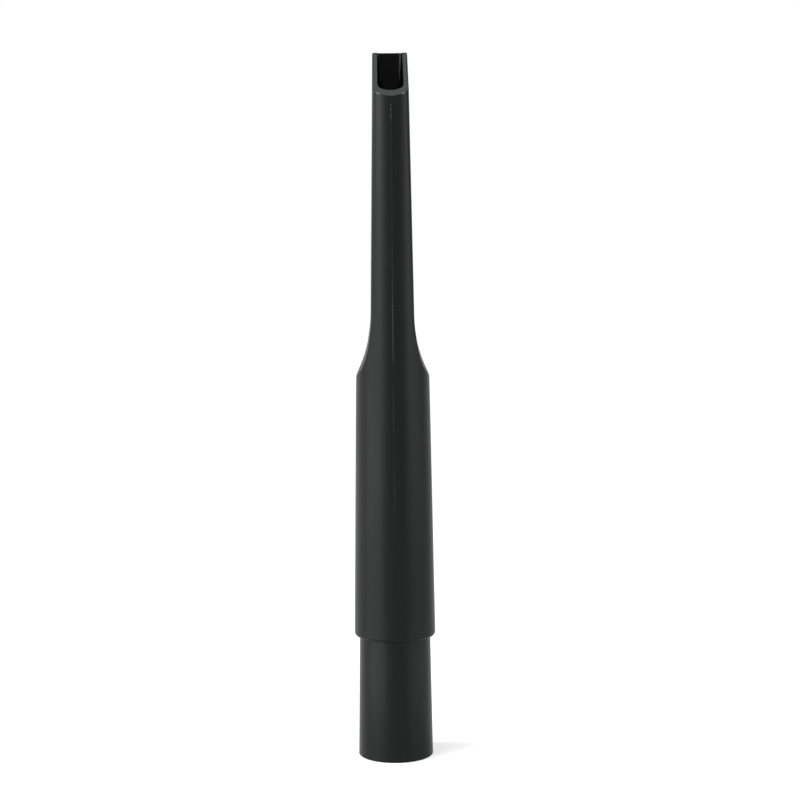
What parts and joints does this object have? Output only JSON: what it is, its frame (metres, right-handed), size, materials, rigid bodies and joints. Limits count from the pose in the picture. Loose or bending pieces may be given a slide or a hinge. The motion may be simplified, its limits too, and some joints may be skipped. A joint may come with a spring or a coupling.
{
  "type": "vacuum crevice tool",
  "caption": "Long narrow vacuum nozzle with a round tapered body, scooped sides, a slanted mouth and a stepped round foot that fits a wand or hose end.",
  "frame": {"origin": "centre of the foot's ring, on the surface that the tool stands on", "axes": "+Z along the axis from the foot to the mouth, -Y the side that the slanted mouth faces"},
  "size_m": [0.038, 0.0382, 0.33],
  "materials": {
    "body": "satin black moulded plastic"
  },
  "bodies": {
    "root": {"crevice_tool": "body"}
  },
  "joints": []
}
